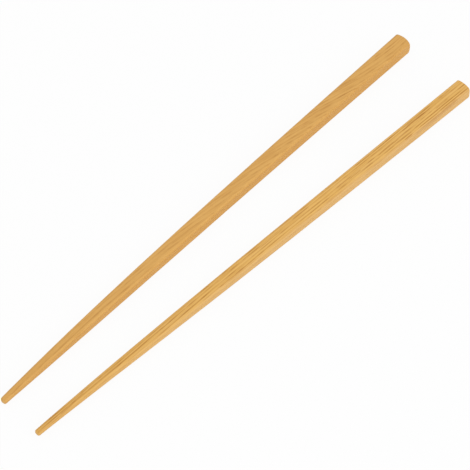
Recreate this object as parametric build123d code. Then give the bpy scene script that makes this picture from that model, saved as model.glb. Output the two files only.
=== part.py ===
from build123d import *
from math import asin, degrees, hypot
import os

# A pair of bamboo chopsticks, lying side by side on a table with their tips drawn together.
# X runs from the tips to the butts, Y to the left and Z up from the table. Sizes are in millimetres.
# Each stick is one piece of bamboo: a squared butt, four soft long edges and a rounded tip.

# Both sticks
LENGTH = 240.0
ARRIS_RADIUS = 1.1  # rounding of the four long edges, which leaves the tip nearly round
BUTT_EDGE_RADIUS = 0.4
TIP_EDGE_RADIUS = 0.7
TRIM_ALLOWANCE = 1.0  # spare length of the blank, taken off when the butt is domed

# Each long edge is a cubic curve: these are the reaches of its two end slopes
TIP_PULL = 50.0
BUTT_PULL = 145.0

# The underside is flat from the butt over the rest length, and rises from there to the tip
REST_LENGTH = 130.0
TIP_LIFT = 1.2

# Left stick: tapers are the loss of width and of height per millimetre of length at that end,
# bows are how far its middle line is pulled to the left at the two reaches,
# and the crown is the rise of the domed butt over its corners
LEFT_TIP_WIDTH = 2.75
LEFT_TIP_HEIGHT = 2.85
LEFT_TIP_TAPER = 0.0545
LEFT_TIP_BOW = 0.95
LEFT_BUTT_WIDTH = 7.4
LEFT_BUTT_HEIGHT = 7.55
LEFT_BUTT_TAPER = 0.0105
LEFT_BUTT_BOW = 1.6
LEFT_BUTT_CROWN = 1.7

# Right stick, a little slimmer towards the tip, with a flatter butt
RIGHT_TIP_WIDTH = 2.6
RIGHT_TIP_HEIGHT = 2.5
RIGHT_TIP_TAPER = 0.031
RIGHT_TIP_BOW = 1.0
RIGHT_BUTT_WIDTH = 7.05
RIGHT_BUTT_HEIGHT = 6.55
RIGHT_BUTT_TAPER = 0.0058
RIGHT_BUTT_BOW = -0.2
RIGHT_BUTT_CROWN = 0.9

# How the pair lies: between the middles of the two tips and of the two butts
TIP_SPACING = 19.7
BUTT_SPACING = 34.2
TIP_STAGGER = 0.7  # how far the left tip lies behind the right one

# An edge rounding stays under this share of the thinner side that it rounds
ROUNDING_SHARE = 0.46

# A body that crosses or cuts a stick reaches this many times the size it has to cover
OVERRUN = 2


def long_edge(tip, tip_slope, butt, butt_slope, tip_bow=0.0, butt_bow=0.0):
    """A long edge of the blank as a flat curve: the cubic that leaves each end at its own slope."""
    blank_length = LENGTH + TRIM_ALLOWANCE
    tip_handle = (TIP_PULL, tip + tip_slope * TIP_PULL + tip_bow)
    butt_handle = (blank_length - BUTT_PULL, butt - butt_slope * BUTT_PULL + butt_bow)
    return Bezier((0, tip), tip_handle, butt_handle, (blank_length, butt))


def closed_face(*curves):
    """The face inside curves that run end to end around it."""
    return make_face(Curve() + list(curves))


def plan_outline(tip_width, butt_width, tip_taper, butt_taper, tip_bow, butt_bow):
    """The blank from above: both sides taper alike about a slightly bowed middle line."""
    left = long_edge(tip_width / 2, tip_taper / 2, butt_width / 2, butt_taper / 2, tip_bow, butt_bow)
    right = long_edge(-tip_width / 2, -tip_taper / 2, -butt_width / 2, -butt_taper / 2, tip_bow, butt_bow)
    return closed_face(left, Line(left @ 1, right @ 1), right, Line(right @ 0, left @ 0))


def side_outline(tip_height, butt_height, tip_taper, butt_taper):
    """The blank from the side: a flat rest that rises to the tip, under a tapering top."""
    rise_length = LENGTH - REST_LENGTH
    rise_slope = 2 * TIP_LIFT / rise_length
    top = long_edge(TIP_LIFT + tip_height, tip_taper - rise_slope, butt_height, butt_taper)
    heel = Line(top @ 1, ((top @ 1).X, 0))
    rest = Line(heel @ 1, (rise_length, 0))
    rise = Bezier((rise_length, 0), (rise_length / 2, 0), (0, TIP_LIFT))
    return closed_face(top, heel, rest, rise, Line(rise @ 1, top @ 0))


def butt_trim(butt_width, butt_height, butt_crown):
    """What the doming takes off: a block over the end of the blank, with a ball taken out of it."""
    reach = hypot(butt_width, butt_height) / 2
    dome_radius = (reach**2 + butt_crown**2) / (2 * butt_crown)
    # The ball is turned about so that its seam lies away from the butt
    ball = Pos(LENGTH - dome_radius, 0, butt_height / 2) * Rot(Z=180) * Sphere(dome_radius)
    block_length = 2 * OVERRUN * (butt_crown + TRIM_ALLOWANCE)
    block = Box(block_length, OVERRUN * butt_width, OVERRUN * butt_height)
    return Pos(LENGTH, 0, butt_height / 2) * block - ball


def chopstick(
    tip_width, tip_height, tip_taper, tip_bow, butt_width, butt_height, butt_taper, butt_bow, butt_crown
):
    """One stick with its tip at the origin: two tapering outlines crossed, then all edges softened."""
    plan = plan_outline(tip_width, butt_width, tip_taper, butt_taper, tip_bow, butt_bow)
    side = side_outline(tip_height, butt_height, tip_taper, butt_taper)
    rise = OVERRUN * butt_height
    breadth = OVERRUN * butt_width
    upright = Pos(0, 0, -rise) * extrude(plan, 2 * rise)
    crosswise = Pos(0, breadth, 0) * extrude(Plane.XZ * side, 2 * breadth)
    stick = upright & crosswise

    thinnest = min(tip_width, tip_height)
    long_edges = stick.edges().filter_by(lambda edge: edge.length > butt_width + butt_height)
    stick = fillet(long_edges, min(ARRIS_RADIUS, ROUNDING_SHARE * thinnest))

    stick = stick - butt_trim(butt_width, butt_height, butt_crown)
    dome = stick.faces().filter_by(GeomType.SPHERE)[0]
    stick = fillet(dome.edges(), BUTT_EDGE_RADIUS)
    tip_end = stick.faces().sort_by(Axis.X)[0]
    return fillet(tip_end.edges(), min(TIP_EDGE_RADIUS, ROUNDING_SHARE * thinnest))


def lay_pair(left, right):
    """Both sticks turned so that their tips draw together, with the origin under the middle of the pair."""
    half_angle = degrees(asin((BUTT_SPACING - TIP_SPACING) / 2 / LENGTH))
    left = Pos(TIP_STAGGER, TIP_SPACING / 2, 0) * Rot(Z=half_angle) * left
    right = Pos(0, -TIP_SPACING / 2, 0) * Rot(Z=-half_angle) * right
    box = Compound([left, right]).bounding_box()
    centre = Pos(-box.center().X, -box.center().Y, -box.min.Z)
    return {"left_chopstick": centre * left, "right_chopstick": centre * right}


left_stick = chopstick(
    LEFT_TIP_WIDTH, LEFT_TIP_HEIGHT, LEFT_TIP_TAPER, LEFT_TIP_BOW,
    LEFT_BUTT_WIDTH, LEFT_BUTT_HEIGHT, LEFT_BUTT_TAPER, LEFT_BUTT_BOW, LEFT_BUTT_CROWN,
)
right_stick = chopstick(
    RIGHT_TIP_WIDTH, RIGHT_TIP_HEIGHT, RIGHT_TIP_TAPER, RIGHT_TIP_BOW,
    RIGHT_BUTT_WIDTH, RIGHT_BUTT_HEIGHT, RIGHT_BUTT_TAPER, RIGHT_BUTT_BOW, RIGHT_BUTT_CROWN,
)

os.makedirs("parts", exist_ok=True)
for node, stick in lay_pair(left_stick, right_stick).items():
    export_step(stick, f"parts/{node}.step")
    print(node, "volume", round(stick.volume, 1), "box", stick.bounding_box())
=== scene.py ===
# %% [markdown]
# # A pair of bamboo chopsticks
# Two loose sticks lie side by side on a pale table, with their tips drawn together. Each one was
# split from a bamboo stem, planed to a taper, sanded and lightly oiled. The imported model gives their
# solids as a fixed frame. This script puts a smoother surface with a grain in place of each solid.

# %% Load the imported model
from math import asin, cos, hypot, radians, sin

import bpy
import numpy as np
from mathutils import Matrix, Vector


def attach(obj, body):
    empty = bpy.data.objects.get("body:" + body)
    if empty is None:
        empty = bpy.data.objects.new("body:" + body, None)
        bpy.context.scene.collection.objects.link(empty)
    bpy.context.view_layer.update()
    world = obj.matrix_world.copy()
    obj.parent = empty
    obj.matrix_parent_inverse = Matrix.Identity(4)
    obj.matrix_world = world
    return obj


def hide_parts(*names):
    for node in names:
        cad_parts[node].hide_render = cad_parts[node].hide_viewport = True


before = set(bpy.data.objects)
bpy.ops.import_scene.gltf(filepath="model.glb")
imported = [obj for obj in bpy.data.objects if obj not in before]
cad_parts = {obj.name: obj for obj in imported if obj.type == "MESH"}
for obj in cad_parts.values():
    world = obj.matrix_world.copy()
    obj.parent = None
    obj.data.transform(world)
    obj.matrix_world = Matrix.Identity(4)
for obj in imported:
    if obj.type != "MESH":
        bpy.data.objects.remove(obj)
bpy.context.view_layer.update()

# %% [markdown]
# ## The taper of a stick
# A chopstick is thick and square at the butt, where the hand holds it, and thin and nearly round at
# the tip. The plane leaves long easy curves and no straight lines, so width, height and bow are each
# a cubic curve with a free slope at both ends. A straight taper would be quicker, but its sides look
# stiff, and the real sticks are full in the middle. Sizes are in millimetres until a mesh is made.

# %% Sizes of the pair
MM = 0.001
LENGTH = 240.0
TRIM_ALLOWANCE = 1.0  # the blank is this much longer than the finished stick
TIP_PULL, BUTT_PULL = 50.0, 145.0  # reaches of the two end slopes
REST_LENGTH, TIP_LIFT = 130.0, 1.2  # the underside is flat for the first and rises by the second
CURVE_POINTS = 2001  # enough to read a curve backwards

# Tip and butt are width and height, tapers are the loss of both per millimetre at tip and butt,
# bows pull the middle line aside at the two reaches, and the crown is the rise of the domed butt
LEFT = {
    "node": "left_chopstick", "tip": (2.75, 2.85), "butt": (7.4, 7.55),
    "tapers": (0.0545, 0.0105), "bows": (0.95, 1.6), "crown": 1.7,
}
RIGHT = {
    "node": "right_chopstick", "tip": (2.6, 2.5), "butt": (7.05, 6.55),
    "tapers": (0.031, 0.0058), "bows": (1.0, -0.2), "crown": 0.9,
}


def cubic(t, start, first_handle, second_handle, end):
    """Cubic curve: the four values weighted by the products of t and 1 - t, with counts 1, 3, 3, 1."""
    s = 1 - t
    return s**3 * start + 3 * s**2 * t * first_handle + 3 * s * t**2 * second_handle + t**3 * end


def station(x):
    """Curve parameter at x millimetres from the tip, read off the cubic that the stations follow."""
    blank = LENGTH + TRIM_ALLOWANCE
    t = np.linspace(0, 1, CURVE_POINTS)
    return np.interp(x, cubic(t, 0, TIP_PULL, blank - BUTT_PULL, blank), t)


def girth(stick, x):
    """Half width, half height, sideways bow and middle height of the stick at x.
    Width and top are cubics, and the underside rises with the square of the distance from the rest."""
    (tip_width, tip_height), (butt_width, butt_height) = stick["tip"], stick["butt"]
    tip_taper, butt_taper = stick["tapers"]
    t = station(x)
    rise_length = LENGTH - REST_LENGTH
    top_taper = tip_taper - 2 * TIP_LIFT / rise_length
    tip_top = tip_height + TIP_LIFT
    width_handles = tip_width + tip_taper * TIP_PULL, butt_width - butt_taper * BUTT_PULL
    top_handles = tip_top + top_taper * TIP_PULL, butt_height - butt_taper * BUTT_PULL
    width = cubic(t, tip_width, *width_handles, butt_width)
    top = cubic(t, tip_top, *top_handles, butt_height)
    under = TIP_LIFT * np.clip(1 - x / rise_length, 0, 1) ** 2
    return width / 2, (top - under) / 2, cubic(t, 0, *stick["bows"], 0), (top + under) / 2


for stick in (LEFT, RIGHT):
    halves = girth(stick, LENGTH * np.array([0, 0.5, 1]))[:2]
    sizes = [np.round(2 * half, 2).tolist() for half in halves]
    print(stick["node"], "widths and heights at tip, middle and butt", sizes)

# %% [markdown]
# ## The section
# Across, the stick is a square whose four edges are sanded round. Such a section is a smaller
# rectangle with a ball rolled round it, so every point is a place on that rectangle plus the ball's
# radius along the normal. The same list of places and normals then serves every station. A beveled
# box would also do, but its bevel would not grow into the nearly round tip.

# %% Places and normals around the section
ARRIS_RADIUS = 1.1
FLAT_STEPS, ARC_STEPS = 26, 14


def soft_square():
    """Four corners in turn, each an arc of normals through a quarter turn and then a flat.
    On an arc the place stays in its corner, on a flat it slides to the next corner."""
    arc = np.arange(ARC_STEPS) / ARC_STEPS
    flat = np.arange(FLAT_STEPS) / FLAT_STEPS
    turn = np.concatenate([arc, np.ones(FLAT_STEPS)])
    slide = np.concatenate([np.zeros(ARC_STEPS), flat])
    corner = np.repeat(np.arange(4), ARC_STEPS + FLAT_STEPS)
    angle = np.radians(90) * (corner + np.tile(turn, 4))
    corners = np.array([(1, 1), (-1, 1), (-1, -1), (1, -1)])
    share = np.tile(slide, 4)[:, None]
    place = corners[corner] * (1 - share) + corners[(corner + 1) % 4] * share
    return place, np.stack([np.cos(angle), np.sin(angle)], 1)


def section(stick, x, shrink):
    """Points of the section at x, scaled about its middle: the place on the inner rectangle plus
    the ball's radius along the normal. Also gives the bow and the middle height."""
    half_width, half_height, bow, middle = girth(stick, x)
    y = shrink * (place[:, 0] * (half_width - ARRIS_RADIUS) + ARRIS_RADIUS * normal[:, 0])
    z = shrink * (place[:, 1] * (half_height - ARRIS_RADIUS) + ARRIS_RADIUS * normal[:, 1])
    return y, z, bow, middle


place, normal = soft_square()
AROUND = len(place)
print("points around a section", AROUND)

# %% [markdown]
# ## The two ends
# The tip is cut flat and its rim is sanded round. The butt is domed, as part of a large ball, with a
# rounded rim as well. Both can be worked out from one number: how far a ring has come in from the
# side says how far the rim has fallen there. A bevel on a finished mesh would crowd the small tip.

# %% Rims and dome
TIP_RIM, BUTT_RIM = 0.7, 0.28  # depths of the two rounded rims
DOME_SINK = 0.05  # the look stays this far inside the solid's dome


def rim_drop(inset, depth):
    """How far a rounded rim has fallen: a quarter circle over the inset, level further in."""
    level = np.clip(depth - inset, 0, depth)
    return depth - np.sqrt(depth**2 - level**2)


def dome(stick, y, z):
    """Where the butt ends over a point of the section: on a ball that falls by the crown to a corner."""
    reach = hypot(*stick["butt"]) / 2
    ball = (reach**2 + stick["crown"] ** 2) / (2 * stick["crown"])
    return LENGTH - DOME_SINK - ball + np.sqrt(ball**2 - y**2 - z**2)


falls = rim_drop(TIP_RIM * np.array([0, 0.5, 1]), TIP_RIM)
print("fall of the tip's rim at its skin, halfway and inside", falls.round(3))

# %% [markdown]
# ## Rows from pole to pole
# The section is carried from the tip to the butt, and at both ends the rings shrink to a pole. One
# grid of rows and columns thus covers the whole stick without a seam. The side rows are not all
# flat cuts: near the butt each column ends where the dome meets it, so the rows bend to that line.

# %% Rows of one stick
SIDE_ROWS, TIP_ROWS, BUTT_ROWS = 300, 14, 26
TIP_INNERMOST = 0.1  # size of the ring next to the tip's pole, as a share of the section
BUTT_FIRST, BUTT_LAST = 0.05, 0.96  # the butt's rings lose the squares of shares between these


def support(y, z):
    """Distance of each side's tangent line from the middle of the section."""
    return y * normal[:, 0] + z * normal[:, 1]


def stick_rows(stick):
    """How far from the tip each point lies, as rows by columns, and how much each row has shrunk."""
    shrink_tip = np.linspace(TIP_INNERMOST, 1, TIP_ROWS)[:, None]
    shrink_butt = 1 - np.linspace(BUTT_FIRST, BUTT_LAST, BUTT_ROWS)[:, None] ** 2
    y, z = section(stick, TIP_RIM, 1.0)[:2]
    x_tip = rim_drop((1 - shrink_tip) * support(y, z), TIP_RIM)
    y, z = section(stick, LENGTH - stick["crown"], 1.0)[:2]
    inset = (1 - shrink_butt) * support(y, z)
    x_butt = dome(stick, shrink_butt * y, shrink_butt * z) - rim_drop(inset, BUTT_RIM)
    end = dome(stick, y, z) - BUTT_RIM
    x_side = TIP_RIM + np.linspace(0, 1, SIDE_ROWS)[1:, None] * (end - TIP_RIM)
    x = np.concatenate([x_tip, x_side, x_butt])
    shrink = np.concatenate([shrink_tip, np.ones((SIDE_ROWS - 1, 1)), shrink_butt])
    return x, shrink


for stick in (LEFT, RIGHT):
    stick["x"], stick["shrink"] = stick_rows(stick)
    print(stick["node"], "rows and columns", stick["x"].shape, "length", stick["x"].max().round(2))

# %% [markdown]
# ## Sanded faces
# A hand-sanded face is never dead flat. Long waves sink the surface by a few hundredths of a
# millimetre, which breaks up the gloss along it. They only go inwards, so that the stick stays
# within its solid. Noise on a bump map would give the gloss too, but not the faint wander of an edge.

# %% Surface of one stick
HOLLOW_DEPTH = 0.03
HOLLOWS = ((23.0, 1, 0.3), (37.0, 3, 1.9), (61.0, 2, 4.1), (11.0, 5, 5.2))  # length, turns, start


def hollows(x):
    """Depth of the sanded hollows: a sum of slow cosines along and around, never above the face."""
    column = np.arange(AROUND) / AROUND
    waves = 0.0
    for length, turns, start in HOLLOWS:
        waves = waves + np.cos(2 * np.pi * (x / length + turns * column) + start)
    return HOLLOW_DEPTH * (1 + waves / len(HOLLOWS)) / 2


def stick_surface(stick):
    """The points of a stick with its tip at the origin, and the same points about its middle line."""
    x, shrink = stick["x"], stick["shrink"]
    y, z, bow, middle = section(stick, x, shrink)
    depth = hollows(x) * shrink
    y, z = y - depth * normal[:, 0], z - depth * normal[:, 1]
    return np.stack([x, y + bow, z + middle], 2), np.stack([x, y, z], 2)


for stick in (LEFT, RIGHT):
    stick["points"], stick["straight"] = stick_surface(stick)
    print(stick["node"], "box", np.ptp(stick["points"], axis=(0, 1)).round(2), "millimetres")

# %% [markdown]
# ## The run of the fibres
# The fibres of the left stick run aslant: straight near the tip, then more and more to the right,
# and straight again at the butt, because the blank was not split along its stem. Those of the right
# stick are nearly straight. So every point also gets a place in the grain, which is its place in the
# stick moved aside by as much as the fibres have wandered. Patterns made in that place run with them.
# Where across the stem a stick was cut sets which lines it shows.

# %% Place in the grain
LEAN_POINTS = 961  # where the lean is added up
LEFT["cut"], RIGHT["cut"] = -0.9, 0.55  # how far aside in the stem each stick was cut

# Most lean aside per millimetre, and where it starts to swell, is full, starts to fade and is gone
LEFT["lean"], LEFT["lean_at"] = 0.23, (40.0, 190.0, 207.0, 236.0)
RIGHT["lean"], RIGHT["lean_at"] = -0.02, (30.0, 45.0, 90.0, 140.0)


def wander(stick, x):
    """How far aside the fibres lie at x: the place of the cut plus their lean added up, which swells
    and then fades."""
    stations = np.linspace(0, LENGTH, LEAN_POINTS)
    swell_from, swell_to, fade_from, fade_to = stick["lean_at"]
    swell = np.clip((stations - swell_from) / (swell_to - swell_from), 0, 1)
    fade = np.clip((stations - fade_from) / (fade_to - fade_from), 0, 1)
    lean = stick["lean"] * swell * (1 - fade)
    return stick["cut"] + np.interp(x, stations, np.cumsum(lean) * (stations[1] - stations[0]))


for stick in (LEFT, RIGHT):
    aside = wander(stick, stick["x"])
    stick["grain"] = stick["straight"] + np.stack([0 * aside, aside, 0 * aside], 2)
    print(stick["node"], "fibres wander by", np.ptp(aside).round(1), "millimetres")

# %% [markdown]
# ## How the pair lies
# The sticks lie with their tips drawn together, as they are put down beside a bowl. Each is turned by
# half the angle between them, the left one lies a touch further back, and the origin is under the
# middle of the box around both. These are the rules of the part itself, so nothing has to be fitted.

# %% Lay the sticks
TIP_SPACING, BUTT_SPACING, TIP_STAGGER = 19.7, 34.2, 0.7


def lay(points, side, stagger):
    """Points turned about the tip by half the opening angle, then moved by half the tip spacing."""
    angle = side * asin((BUTT_SPACING - TIP_SPACING) / 2 / LENGTH)
    x = points[..., 0] * cos(angle) - points[..., 1] * sin(angle) + stagger
    y = points[..., 0] * sin(angle) + points[..., 1] * cos(angle) + side * TIP_SPACING / 2
    return np.stack([x, y, points[..., 2]], -1)


LEFT["laid"] = lay(LEFT["points"], 1, TIP_STAGGER)
RIGHT["laid"] = lay(RIGHT["points"], -1, 0.0)
low = np.minimum(LEFT["laid"].min((0, 1)), RIGHT["laid"].min((0, 1)))
high = np.maximum(LEFT["laid"].max((0, 1)), RIGHT["laid"].max((0, 1)))
centre = np.array([(low[0] + high[0]) / 2, (low[1] + high[1]) / 2, 0.0])
print("pair measures", np.round(high - low, 2), "millimetres")

# %% [markdown]
# ## From the grid to a mesh
# Neighbouring rows and columns make four-sided faces, the last column joins the first, and a fan of
# triangles closes each pole. The faces are listed so that they look outwards, which a positive volume
# confirms. Two attributes ride along on the points: where a point lies in the grain, and which part
# of the stick it belongs to. A finish that reads them follows the wood and not the room.

# %% Grid to faces
def grid_faces(rows, columns):
    """Quads of a grid closed around its columns, and the two fans at its poles, as lists of indices.
    The poles are the last two points."""
    row, column = np.meshgrid(np.arange(rows - 1), np.arange(columns), indexing="ij")
    after = (column + 1) % columns
    here, ahead = row * columns, (row + 1) * columns
    quads = np.stack([ahead + column, ahead + after, here + after, here + column], -1).reshape(-1, 4)
    ring = np.arange(columns)
    last = (rows - 1) * columns + ring
    tip_fan = np.stack([ring, np.roll(ring, -1), np.full(columns, rows * columns)], 1)
    butt_fan = np.stack([np.roll(last, -1), last, np.full(columns, rows * columns + 1)], 1)
    return quads.tolist() + tip_fan.tolist() + butt_fan.tolist()


def with_poles(grid):
    """The grid as a list of points, with the means of its first and last rings added as poles."""
    flat = grid.reshape(-1, grid.shape[-1])
    return np.concatenate([flat, grid[:1].mean(1), grid[-1:].mean(1)])


def volume(mesh):
    """Volume that a closed mesh encloses: a sixth of the sum of its triangles' triple products."""
    mesh.calc_loop_triangles()
    corners = np.empty(len(mesh.loop_triangles) * 3, np.int32)
    mesh.loop_triangles.foreach_get("vertices", corners)
    points = np.empty(len(mesh.vertices) * 3, np.float32)
    mesh.vertices.foreach_get("co", points)
    a, b, c = points.reshape(-1, 3).astype(float)[corners.reshape(-1, 3)].transpose(1, 0, 2)
    return (a * np.cross(b, c)).sum() / 6


print("a grid of 3 by 4 has", len(grid_faces(3, 4)), "faces")

# %% Make the two sticks
def make_stick(stick, name):
    """A mesh object of one stick. Its parts: how near to a long edge and to an end, facing sideways."""
    rows, columns = stick["laid"].shape[:2]
    mesh = bpy.data.meshes.new(name)
    mesh.from_pydata(with_poles((stick["laid"] - centre) * MM), [], grid_faces(rows, columns))
    mesh.shade_smooth()
    arris = np.abs(2 * normal[:, 0] * normal[:, 1]) * stick["shrink"]
    end = 1 - np.broadcast_to(stick["shrink"], arris.shape)
    parts = np.stack([arris, end, np.broadcast_to(normal[:, 0], arris.shape)], 2)
    for key, values in (("grain", stick["grain"]), ("part", parts)):
        attribute = mesh.attributes.new(key, "FLOAT_VECTOR", "POINT")
        attribute.data.foreach_set("vector", with_poles(values).astype(np.float32).ravel())
    obj = bpy.data.objects.new(name, mesh)
    bpy.context.scene.collection.objects.link(obj)
    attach(obj, "root")
    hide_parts(stick["node"])
    print(name, len(mesh.polygons), "faces, volume", round(volume(mesh) * 1e9, 1), "cubic millimetres")
    return obj


left_stick = make_stick(LEFT, "left_stick")
right_stick = make_stick(RIGHT, "right_stick")

# %% [markdown]
# ## Colours and nodes
# A finish is a tree of nodes. Colours are easiest to judge as they show on a screen, but light adds up
# in linear values, so a helper turns one into the other. A second helper adds a node, names it and
# joins it to the nodes before it, which keeps the trees below short enough to read.

# %% Helpers for the finishes
def srgb(red, green, blue):
    """A colour as it shows on a screen, from 0 to 255, in the linear values that light adds up in."""
    c = np.array([red, green, blue]) / 255
    linear = np.where(c <= 0.04045, c / 12.92, ((c + 0.055) / 1.055) ** 2.4)
    return (*linear.tolist(), 1.0)


def join(tree, kind, label, inputs=(), **settings):
    """A new node of a tree: settings are its own options, inputs are values or other nodes' outputs."""
    node = tree.nodes.new(kind)
    node.label = label
    for key, value in settings.items():
        setattr(node, key, value)
    for key, value in dict(inputs).items():
        if isinstance(value, bpy.types.NodeSocket):
            tree.links.new(value, node.inputs[key])
        else:
            node.inputs[key].default_value = value
    return node


def blend(tree, label, factor, first, second):
    """The second colour laid over the first by a factor. Sockets 0, 6 and 7 are for colours."""
    node = join(tree, "ShaderNodeMix", label, {0: factor, 6: first, 7: second}, data_type="RGBA")
    return node.outputs[2]


def ramp(tree, label, value, low, high, start=0.0, stop=1.0):
    """A value that goes smoothly from start to stop while its source goes from low to high."""
    ends = {"Value": value, "From Min": low, "From Max": high, "To Min": start, "To Max": stop}
    node = join(tree, "ShaderNodeMapRange", label, ends, interpolation_type="SMOOTHSTEP")
    return node.outputs["Result"]


def calc(tree, label, operation, first, second):
    """Two values added, multiplied or compared."""
    return join(tree, "ShaderNodeMath", label, {0: first, 1: second}, operation=operation).outputs[0]


def shift(tree, label, operation, first, second):
    """Two vectors added, multiplied or divided, one coordinate at a time."""
    node = join(tree, "ShaderNodeVectorMath", label, {0: first, 1: second}, operation=operation)
    return node.outputs[0]


print("bamboo on screen 214 164 93 is", np.round(srgb(214, 164, 93), 3), "in light")

# %% [markdown]
# ## Lines of bundles
# Bamboo has no growth rings. Bundles of hard dark fibres run the length of the stem, at nearly even
# gaps, through a paler ground. A cut along the stem shows them as fine parallel lines, and a cut across
# it as dots. Stretched noise gives streaks too, but they clump into blotches. So the lines lie in even
# cells here, each moved a little out of its place, and each fades in and out along its own run.

# %% Bundles as lines
UNEVEN = 0.4  # how much the lines leave their even places
LINE_CORE = 0.02  # distance from the middle of a line where it is darkest, in gaps
FAINT, FAINT_BELOW, FULL_ABOVE = 0.35, 0.38, 0.75  # least strength, and noise for least and most
RUN_SPREAD = 97.0  # how far apart the runs of two lines may start, in lengths of a dash


def mix_value(tree, label, factor, first, second):
    """The second value in place of the first by a factor. Sockets 0, 2 and 3 are for values."""
    inputs = {0: factor, 2: first, 3: second}
    return join(tree, "ShaderNodeMix", label, inputs, data_type="FLOAT").outputs[0]


def bundle_lines(tree, label, along, across, given):
    """Lines across one direction: one in the middle of a cell and zero from the bundle's width on,
    times a noise along the line that starts elsewhere in each cell."""
    gaps = calc(tree, label + " in gaps", "DIVIDE", across, given["Bundle Gap"])
    spread = {"W": gaps, "Scale": 1.0, "Randomness": UNEVEN}
    cells = join(tree, "ShaderNodeTexVoronoi", label, spread, voronoi_dimensions="1D").outputs
    inside = ramp(tree, "inside a bundle", cells["Distance"], given["Bundle Width"], LINE_CORE)
    own = join(tree, "ShaderNodeSeparateColor", "own number", {0: cells["Color"]}).outputs[0]
    start = calc(tree, "own start", "MULTIPLY", own, RUN_SPREAD)
    dashes = calc(tree, "dashes along", "DIVIDE", along, given["Bundle Length"])
    run = {"W": calc(tree, "own run", "ADD", dashes, start), "Scale": 1.0, "Detail": 2.0}
    rise = join(tree, "ShaderNodeTexNoise", "rise and fall", run, noise_dimensions="1D").outputs[0]
    strength = ramp(tree, "strength of a line", rise, FAINT_BELOW, FULL_ABOVE, FAINT, 1.0)
    return calc(tree, label, "MULTIPLY", inside, strength)


print("lines leave their even places by up to", UNEVEN / 2, "of the gap")

# %% [markdown]
# ## The grain of bamboo
# The top and the sides of a stick are cuts along the stem, and its ends are cuts across it. The group
# makes the lines twice, once across and once up, and the way a face looks decides which of them it
# shows. An end has round dots of its own, because two sets of lines would cross there like a waffle.
# Fine fibres, short pores and slow patches of tone fill space, so they run on over every edge. Both
# sticks use this group with their own values.

# %% The grain as a node group
GRAIN_SIZES = ("Bundle Length", "Bundle Gap", "Bundle Width", "Fibre Length", "Fibre Gap")
WAVER_SCALE, WAVER_WIDTH = 0.05, (0.0, 0.5, 0.5)  # slow, and only aside, by up to half a millimetre
DOT_GAP, DOT_UNEVEN = 0.8, 0.75  # between bundles on an end, and how much they leave their places
DOT_RIM, DOT_CORE = 0.34, 0.1  # distances from the middle of a dot, in gaps
PORE_SIZE, PORE_RIM, PORE_CORE = (6.0, 0.42, 0.42), 0.3, 0.12  # its cell, and distances in cells
PATCH_SIZE = (18.0, 3.4, 3.4)


def stretched(tree, label, kind, place, size, **inputs):
    """A noise or cell texture whose cells have the given size along, across and up."""
    cells = shift(tree, label + " size", "DIVIDE", place, size)
    return join(tree, kind, label, {"Vector": cells, "Scale": 1.0, **inputs})


def grain_group():
    """Bundles: lines on the top and the sides, dots on an end. Pores: near the middle of short, fine
    cells. Fibres: fine stretched noise. Tone: slow patches, longer than wide."""
    tree = bpy.data.node_groups.new("bamboo_grain", "ShaderNodeTree")
    tree.interface.new_socket("Grain", in_out="INPUT", socket_type="NodeSocketVector")
    for name in ("Sideways", "Endways", *GRAIN_SIZES):
        tree.interface.new_socket(name, in_out="INPUT", socket_type="NodeSocketFloat")
    for name in ("Bundles", "Pores", "Fibres", "Tone"):
        tree.interface.new_socket(name, in_out="OUTPUT", socket_type="NodeSocketFloat")
    given = tree.nodes.new("NodeGroupInput").outputs
    sent = tree.nodes.new("NodeGroupOutput").inputs

    slow = {"Vector": given["Grain"], "Scale": WAVER_SCALE, "Detail": 1.0}
    waver = join(tree, "ShaderNodeTexNoise", "waver", slow).outputs["Color"]
    aside = shift(tree, "waver width", "MULTIPLY", waver, WAVER_WIDTH)
    grain = shift(tree, "wavering grain", "ADD", given["Grain"], aside)

    along, across, up = join(tree, "ShaderNodeSeparateXYZ", "grain", {0: grain}).outputs
    top = bundle_lines(tree, "lines on the top", along, across, given)
    side = bundle_lines(tree, "lines on a side", along, up, given)
    flat = join(tree, "ShaderNodeCombineXYZ", "place on an end", {0: across, 1: up}).outputs[0]
    spread = {"Vector": flat, "Scale": 1 / DOT_GAP, "Randomness": DOT_UNEVEN}
    cells = join(tree, "ShaderNodeTexVoronoi", "dots", spread, voronoi_dimensions="2D").outputs
    dots = ramp(tree, "dots on an end", cells["Distance"], DOT_RIM, DOT_CORE)
    lines = mix_value(tree, "top or side", given["Sideways"], top, side)
    tree.links.new(mix_value(tree, "lines or dots", given["Endways"], lines, dots), sent["Bundles"])

    pores = stretched(tree, "pores", "ShaderNodeTexVoronoi", grain, PORE_SIZE).outputs
    inside = ramp(tree, "inside a pore", pores["Distance"], PORE_RIM, PORE_CORE)
    tree.links.new(inside, sent["Pores"])

    length, gap = given["Fibre Length"], given["Fibre Gap"]
    size = join(tree, "ShaderNodeCombineXYZ", "fibre size", {0: length, 1: gap, 2: gap}).outputs[0]
    fibres = stretched(tree, "fibres", "ShaderNodeTexNoise", grain, size, Detail=2.0)
    tree.links.new(fibres.outputs[0], sent["Fibres"])
    patches = stretched(tree, "patches", "ShaderNodeTexNoise", grain, PATCH_SIZE, Detail=2.0)
    tree.links.new(patches.outputs[0], sent["Tone"])
    return tree


bamboo_grain = grain_group()
print("grain group", [item.name for item in bamboo_grain.interface.items_tree])

# %% [markdown]
# ## Dark veins
# Where a thick bundle lies just under the surface, the plane opens it up and leaves a long dark vein.
# There are some twenty on each stick and they are what tells the two sticks apart, so each has its
# own place: where it starts and ends along the stick, and where it lies across the face. In the grain
# a vein is a long thin rod with ragged ends. Both finishes place this group many times.

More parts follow.
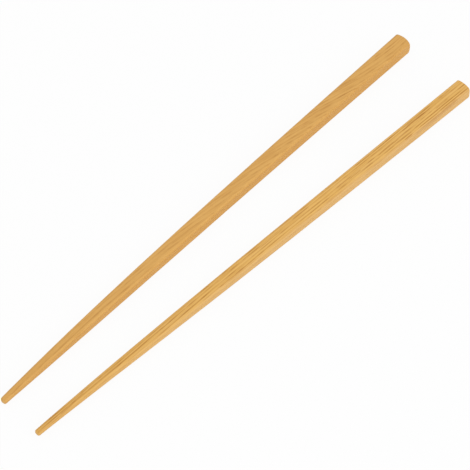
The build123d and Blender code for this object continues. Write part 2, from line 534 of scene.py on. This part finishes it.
# %% A vein as a node group
RAGGED_SIZE = (9.0, 0.9, 0.9)  # cells of the noise that makes a vein ragged
RAGGED_SHIFT = (8.0, 0.3, 0.3)  # and how far it moves things
VEIN_FULL, VEIN_CORE = 0.6, 0.3  # shares of the reach along and across where a vein is darkest


def vein_group():
    """A flat rod: one near its middle line, fading across and towards both ends, after noise has moved
    the place a little."""
    tree = bpy.data.node_groups.new("dark_vein", "ShaderNodeTree")
    for name in ("Grain", "Middle", "Reach"):
        tree.interface.new_socket(name, in_out="INPUT", socket_type="NodeSocketVector")
    tree.interface.new_socket("Strength", in_out="INPUT", socket_type="NodeSocketFloat")
    tree.interface.new_socket("Vein", in_out="OUTPUT", socket_type="NodeSocketFloat")
    given = tree.nodes.new("NodeGroupInput").outputs
    sent = tree.nodes.new("NodeGroupOutput").inputs

    grain = given["Grain"]
    ragged = stretched(tree, "ragged", "ShaderNodeTexNoise", grain, RAGGED_SIZE, Detail=2.0)
    about_zero = shift(tree, "about zero", "SUBTRACT", ragged.outputs["Color"], (0.5, 0.5, 0.5))
    moved = shift(tree, "how far", "MULTIPLY", about_zero, RAGGED_SHIFT)
    place = shift(tree, "ragged place", "ADD", grain, moved)
    off = shift(tree, "off the middle", "SUBTRACT", place, given["Middle"])
    shares = shift(tree, "shares of the reach", "DIVIDE", off, given["Reach"])
    along = join(tree, "ShaderNodeSeparateXYZ", "along", {0: shares}).outputs[0]
    from_middle = calc(tree, "from the middle", "ABSOLUTE", along, 0.0)
    between = ramp(tree, "between the ends", from_middle, 1.0, VEIN_FULL)
    aside = shift(tree, "aside", "MULTIPLY", shares, (0.0, 1.0, 1.0))
    distance = join(tree, "ShaderNodeVectorMath", "distance", {0: aside}, operation="LENGTH")
    inside = ramp(tree, "inside the vein", distance.outputs["Value"], 1.0, VEIN_CORE)
    vein = calc(tree, "vein", "MULTIPLY", inside, between)
    tree.links.new(calc(tree, "vein shown", "MULTIPLY", vein, given["Strength"]), sent["Vein"])
    return tree


dark_vein = vein_group()
print("vein group", [item.name for item in dark_vein.interface.items_tree])

# %% Where the veins lie
VEIN_DEPTH = 3.0  # how deep a vein goes under its face
VEIN_WIDTH = 0.4

# Start and end from the tip in millimetres, share of the top's width from its left edge, strength
LEFT["veins"] = (
    (4, 12, 0.78, 0.30), (27, 40, 0.71, 0.28), (40, 46, 0.88, 0.26), (41, 71, 0.67, 0.32),
    (87, 116, 0.53, 0.36), (132, 144, 0.36, 0.40), (148, 159, 0.32, 0.32), (150, 159, 0.56, 0.26),
    (168, 182, 0.46, 0.34), (177, 186, 0.13, 0.40), (182, 195, 0.49, 0.36), (195, 206, 0.78, 0.48),
    (199, 211, 0.33, 0.46), (215, 221, 0.92, 0.32), (223, 229, 0.92, 0.36), (229, 236, 0.88, 0.20),
)
RIGHT["veins"] = (
    (10, 19, 0.78, 0.50), (17, 24, 0.55, 0.40), (29, 80, 0.57, 0.50), (76, 93, 0.68, 0.50),
    (79, 96, 0.42, 0.22), (101, 117, 0.85, 0.40), (111, 116, 0.32, 0.36), (121, 134, 0.42, 0.34),
    (146, 153, 0.78, 0.50), (149, 153, 0.96, 0.22), (169, 178, 0.63, 0.60), (186, 204, 0.20, 0.60),
    (186, 195, 0.61, 0.58), (193, 199, 0.60, 0.50), (190, 196, 0.78, 0.50), (200, 205, 0.78, 0.50),
    (201, 205, 0.93, 0.54), (203, 219, 0.34, 0.76), (205, 218, 0.29, 0.66), (208, 217, 0.89, 0.48),
    (210, 238, 0.735, 0.72), (220, 239, 0.86, 0.68), (220, 230, 0.60, 0.40), (221, 233, 0.955, 0.45),
    (203, 234, 1.0, 0.38),
)


def vein_place(stick, start, end, across):
    """Middle and reach of a vein in the grain: on the top face, at a share of the width there."""
    x = (start + end) / 2
    half_width, half_height = girth(stick, np.array(x))[:2]
    y = half_width * (1 - 2 * across) + wander(stick, x)
    return (x, float(y), float(half_height)), ((end - start) / 2, VEIN_WIDTH / 2, VEIN_DEPTH)


print(len(LEFT["veins"]), "veins on the left stick,", len(RIGHT["veins"]), "on the right one")

# %% [markdown]
# ## The bamboo finish
# The ground colour is a warm honey, in slow patches, and oil and use have darkened it towards the tip.
# The long edges are a little paler, partly from sanding and partly as a painted sheen. The right side
# of each stick has a colour of its own: on the right stick it is the pale inside of the stem, of which
# the plane left less near the tip. Fibres, pores and bundles lie over the ground, fainter on the sides
# and towards the tip, and the veins over them. The tip's end is sanded pale, and the butt's end is
# darker, with the cut bundles as dots. The wood is satin: the oil sits in the pores and leaves a broad
# soft gloss.

# %% Colour of the wood
# Each pair says where a change starts and where it is complete.
GRAIN_CLEARS, OIL_FADES, PLANED = (90.0, 200.0), (10.0, 110.0), (0.0, 120.0)  # from the tip
SIDE_AT_TIP = 0.3  # share of the side's own colour that the plane left at the tip
SIDE_TURN, RIGHT_TURN = (0.3, 0.95), (-0.1, -0.95)  # how far a face looks to a side, to the right
TONE_RANGE, EDGE_RANGE = (0.32, 0.68), (0.3, 1.0)  # noise of the patches, nearness to a long edge
PALE_FIBRES, DARK_FIBRES = (0.5, 0.36), (0.5, 0.64)  # noise below and above its mean


def wood_colour(tree, look, place, parts, made):
    """Ground and pale by tone, then tip, side, edges, fibres, pores and bundles over each other."""
    sideways = calc(tree, "sideways", "ABSOLUTE", parts[2], 0.0)
    top_only = ramp(tree, "top or side", sideways, *SIDE_TURN, 1.0, look["side_grain"])
    to_butt = ramp(tree, "towards the butt", place[0], *GRAIN_CLEARS, look["tip_grain"], 1.0)
    show = calc(tree, "how far the grain shows", "MULTIPLY", top_only, to_butt)
    tone = ramp(tree, "tone", made["Tone"], *TONE_RANGE)
    colour = blend(tree, "ground", tone, look["ground"], look["pale"])
    oiled = ramp(tree, "oiled tip", place[0], *OIL_FADES, look["tip_share"], 0.0)
    colour = blend(tree, "tip", oiled, colour, look["tip"])
    right = ramp(tree, "right side", parts[2], *RIGHT_TURN, 0.0, look["side_share"])
    planed = ramp(tree, "less is left near the tip", place[0], *PLANED, SIDE_AT_TIP, 1.0)
    side = calc(tree, "side share", "MULTIPLY", right, planed)
    colour = blend(tree, "side", side, colour, look["side"])
    # Paler long edges: partly sanded wear, partly a painted sheen along the edges.
    edge = ramp(tree, "edge wear and painted sheen", parts[0], *EDGE_RANGE, 0.0, look["edge_wear_and_sheen"])
    colour = blend(tree, "edges", edge, colour, look["edge"])
    pale = ramp(tree, "pale fibres", made["Fibres"], *PALE_FIBRES, 0.0, look["light"])
    light = calc(tree, "pale streaks", "MULTIPLY", pale, show)
    colour = blend(tree, "light fibres", light, colour, look["edge"])
    for label, mask in (
        ("fibres", ramp(tree, "dark fibres", made["Fibres"], *DARK_FIBRES, 0.0, look["fibre"])),
        ("pores", calc(tree, "pore share", "MULTIPLY", made["Pores"], look["pore"])),
        ("bundles", calc(tree, "bundle share", "MULTIPLY", made["Bundles"], look["bundle"])),
    ):
        shown = calc(tree, label + " shown", "MULTIPLY", mask, show)
        colour = blend(tree, label, shown, colour, look["dark"])
    return colour


def with_veins(tree, stick, grain, colour, dark):
    """The darkest of all veins at a place, laid over a colour."""
    deepest = 0.0
    for start, end, across, strength in stick["veins"]:
        middle, reach = vein_place(stick, start, end, across)
        inputs = {"Grain": grain, "Middle": middle, "Reach": reach, "Strength": strength}
        vein = join(tree, "ShaderNodeGroup", "vein", inputs, node_tree=dark_vein).outputs["Vein"]
        deepest = calc(tree, "deepest vein", "MAXIMUM", vein, deepest)
    return blend(tree, "veins", deepest, colour, dark)


print(len(bamboo_grain.nodes), "nodes make the grain and", len(dark_vein.nodes), "a vein")

# %% The finish of a stick
GLOSS, SMOOTH, COARSE = 0.2, 0.46, 0.58  # specular level, and roughness of ground and fibres
ROUGH_RANGE = (0.3, 0.7)  # noise of the fibres from smooth to coarse
RELIEF, RELIEF_SHARE = 0.00002, 0.25  # height of the fibres in metres, and how much of it shows
LINES_TURN, DOTS_TURN = (0.3, 0.9), (0.02, 0.2)  # where a side's lines and an end's dots take over
TIP_TO_BUTT = (110.0, 130.0)  # the halves of the stick, told apart in its middle
END_RANGE, END_SHARE = (0.02, 0.3), 0.6  # where an end begins, and how far it takes its own colour


def bamboo(name, stick, look):
    """Satin wood: the colour above, roughness by the fibres, and a bump that sinks bundles and pores."""
    material = bpy.data.materials.new(name)
    material.use_nodes = True
    tree = material.node_tree
    shader = tree.nodes["Principled BSDF"]
    grain, part = (
        join(tree, "ShaderNodeAttribute", key, attribute_name=key).outputs["Vector"]
        for key in ("grain", "part")
    )
    place = join(tree, "ShaderNodeSeparateXYZ", "place", {0: grain}).outputs
    parts = join(tree, "ShaderNodeSeparateXYZ", "parts", {0: part}).outputs
    either_side = calc(tree, "to either side", "ABSOLUTE", parts[2], 0.0)
    sideways = ramp(tree, "looks sideways", either_side, *LINES_TURN)
    endways = ramp(tree, "looks endways", parts[1], *DOTS_TURN)
    inputs = {"Grain": grain, "Sideways": sideways, "Endways": endways, **look["grain"]}
    made = join(tree, "ShaderNodeGroup", "grain", inputs, node_tree=bamboo_grain).outputs
    colour = wood_colour(tree, look, place, parts, made)
    colour = with_veins(tree, stick, grain, colour, look["dark"])
    which_end = ramp(tree, "tip or butt", place[0], *TIP_TO_BUTT)
    end_colour = blend(tree, "end colour", which_end, look["edge"], look["end"])
    ends = ramp(tree, "ends", parts[1], *END_RANGE, 0.0, END_SHARE)
    colour = blend(tree, "end grain", ends, colour, end_colour)
    on_butt = calc(tree, "on the butt", "MULTIPLY", ends, which_end)
    cut = calc(tree, "cut bundles", "MULTIPLY", made["Bundles"], on_butt)
    colour = blend(tree, "dots", cut, colour, look["dot"])
    tree.links.new(colour, shader.inputs["Base Color"])
    shader.inputs["Specular IOR Level"].default_value = GLOSS
    rough = ramp(tree, "roughness", made["Fibres"], *ROUGH_RANGE, SMOOTH, COARSE)
    tree.links.new(rough, shader.inputs["Roughness"])
    sunk = calc(tree, "sunk", "ADD", made["Bundles"], made["Pores"])
    relief = calc(tree, "relief", "SUBTRACT", made["Fibres"], sunk)
    heights = {"Height": relief, "Strength": RELIEF_SHARE, "Distance": RELIEF}
    bump = join(tree, "ShaderNodeBump", "fibre relief", heights)
    tree.links.new(bump.outputs[0], shader.inputs["Normal"])
    print(name, len(tree.nodes), "nodes")
    return material


# %% Finish both sticks
# Colours as they show on a screen, sizes of the grain in its order, and how far each thing shows.
# The bundle's width is in gaps, and the side and tip values are what is left of the grain there.
ENDS = {"end": srgb(160, 112, 62), "dot": srgb(130, 82, 37)}
# The edge colour is laid on the long edges as part sanded wear, part painted sheen.
LEFT_LOOK = {
    **ENDS, "ground": srgb(219, 167, 91), "pale": srgb(222, 171, 95), "dark": srgb(166, 108, 44),
    "side": srgb(213, 162, 82), "edge": srgb(228, 180, 106), "tip": srgb(208, 156, 80),
    "side_share": 0.6, "edge_wear_and_sheen": 0.3, "tip_share": 0.25,
    "grain": dict(zip(GRAIN_SIZES, (6.0, 1.55, 0.36, 9.0, 0.3))),
    "light": 0.3, "fibre": 0.15, "pore": 0.1, "bundle": 0.42, "side_grain": 0.6, "tip_grain": 0.8,
}
RIGHT_LOOK = {
    **ENDS, "ground": srgb(231, 181, 97), "pale": srgb(234, 185, 102), "dark": srgb(164, 102, 34),
    "side": srgb(224, 180, 112), "edge": srgb(230, 184, 111), "tip": srgb(220, 169, 87),
    "side_share": 0.9, "edge_wear_and_sheen": 0.15, "tip_share": 0.8,
    "grain": dict(zip(GRAIN_SIZES, (9.0, 1.2, 0.36, 16.0, 0.35))),
    "light": 0.6, "fibre": 0.25, "pore": 0.1, "bundle": 0.68, "side_grain": 0.5, "tip_grain": 0.95,
}
left_stick.data.materials.append(bamboo("left_bamboo", LEFT, LEFT_LOOK))
right_stick.data.materials.append(bamboo("right_bamboo", RIGHT, RIGHT_LOOK))

# %% [markdown]
# ## The table
# The pair lies on a plain white table. A real white table under soft light is never quite white, so to
# the camera, and in reflections, most of the table is plain white light, and the rest is matt paint
# that keeps the shadow of the sticks. All other rays meet matt paint, so the table still throws its
# light back on the sides of the sticks.

# %% Table
FLOOR_SIZE = 6.0
FLOOR_DROP = 0.0001  # the table lies this far under the sticks, so that the faces don't coincide
WHITE_SHARE = 0.93  # of plain white light, to a ray that sees the table
PAINT = 0.88


def seen(tree):
    """One for a ray that shows the background itself: from the camera, mirrored or through glass."""
    path = tree.nodes.new("ShaderNodeLightPath").outputs
    mirrored = calc(tree, "seen or mirrored", "MAXIMUM", path["Is Camera Ray"], path["Is Glossy Ray"])
    return calc(tree, "or through glass", "MAXIMUM", mirrored, path["Is Transmission Ray"])


half = FLOOR_SIZE / 2
floor_mesh = bpy.data.meshes.new("floor")
flat_corners = (-half, -half), (half, -half), (half, half), (-half, half)
corners = [(x, y, -FLOOR_DROP) for x, y in flat_corners]
floor_mesh.from_pydata(corners, [], [(0, 1, 2, 3)])
floor = bpy.data.objects.new("floor", floor_mesh)
bpy.context.scene.collection.objects.link(floor)

table = bpy.data.materials.new("white_table")
table.use_nodes = True
tree = table.node_tree
tree.nodes.clear()
paint = join(tree, "ShaderNodeBsdfDiffuse", "matt paint", {"Color": (PAINT, PAINT, PAINT, 1.0)})
glow = join(tree, "ShaderNodeEmission", "plain white", {"Strength": 1.0})
share = calc(tree, "white share", "MULTIPLY", seen(tree), WHITE_SHARE)
mix = join(tree, "ShaderNodeMixShader", "table", {0: share, 1: paint.outputs[0], 2: glow.outputs[0]})
join(tree, "ShaderNodeOutputMaterial", "out", {"Surface": mix.outputs[0]})
floor_mesh.materials.append(table)
print("table of", FLOOR_SIZE, "metres, matt paint", PAINT)

# %% [markdown]
# ## The light
# The sticks are lit as in a light tent: an even white sky from all sides, and one large soft lamp low
# in front of them, which makes their near sides as bright as their tops. Together they light a level
# face by about one, so that a colour shows as it is written.

# %% Sky and lamp
SKY = 0.86  # to a ray that lights something, while a ray that sees the sky finds it white

world = bpy.data.worlds.new("studio")
bpy.context.scene.world = world
world.use_nodes = True
tree = world.node_tree
background = tree.nodes["Background"]
background.inputs["Color"].default_value = (1, 1, 1, 1)
levels = {"Value": seen(tree), "To Min": SKY, "To Max": 1.0}
level = join(tree, "ShaderNodeMapRange", "sky level", levels)
tree.links.new(level.outputs["Result"], background.inputs["Strength"])


def direction(azimuth, elevation):
    """Unit vector from the pair towards a lamp or camera: azimuth 0 is in front, 90 to the right."""
    a, e = radians(azimuth), radians(elevation)
    return Vector((sin(a) * cos(e), -cos(a) * cos(e), sin(e)))


def lamp(name, azimuth, elevation, distance, size, watts):
    """A square soft lamp that looks at the pair from a direction."""
    toward = direction(azimuth, elevation)
    data = bpy.data.lights.new(name, "AREA")
    data.shape, data.size, data.energy = "SQUARE", size, watts
    obj = bpy.data.objects.new(name, data)
    obj.location = toward * distance
    obj.rotation_euler = (-toward).to_track_quat("-Z", "Y").to_euler()
    bpy.context.scene.collection.objects.link(obj)
    print(name, "lamp at", [round(c, 2) for c in obj.location], "metres,", watts, "watts")


lamp("key", azimuth=8, elevation=34, distance=1.6, size=1.2, watts=6.4)

# %% [markdown]
# ## The camera
# The pair is seen from the tips, from the right and from well above. From a good metre away the far
# butts are only a little smaller than the tips would be there. The lens follows from the scale at
# that distance, in picture points per millimetre, so that the pair fills the picture corner to corner.

# %% Camera
AZIMUTH, ELEVATION = -45.977, 55.0
DISTANCE, TARGET = 1110.0, (0.585, 1.136, 0.0)  # millimetres
PIXELS_PER_MM, PICTURE = 2.478, 470  # scale at the target, and width of the picture
SENSOR = 36.0  # width of a common film frame in millimetres

back = direction(AZIMUTH, ELEVATION)
camera_data = bpy.data.cameras.new("camera")
camera_data.sensor_width = SENSOR
camera_data.lens = camera_data.sensor_width * PIXELS_PER_MM * DISTANCE / PICTURE
camera = bpy.data.objects.new("camera", camera_data)
camera.location = (Vector(TARGET) + back * DISTANCE) * MM
camera.rotation_euler = (-back).to_track_quat("-Z", "Y").to_euler()
bpy.context.scene.collection.objects.link(camera)
bpy.context.scene.camera = camera
bpy.context.scene.view_settings.view_transform = "Standard"
print("lens", round(camera_data.lens, 1), "millimetres")
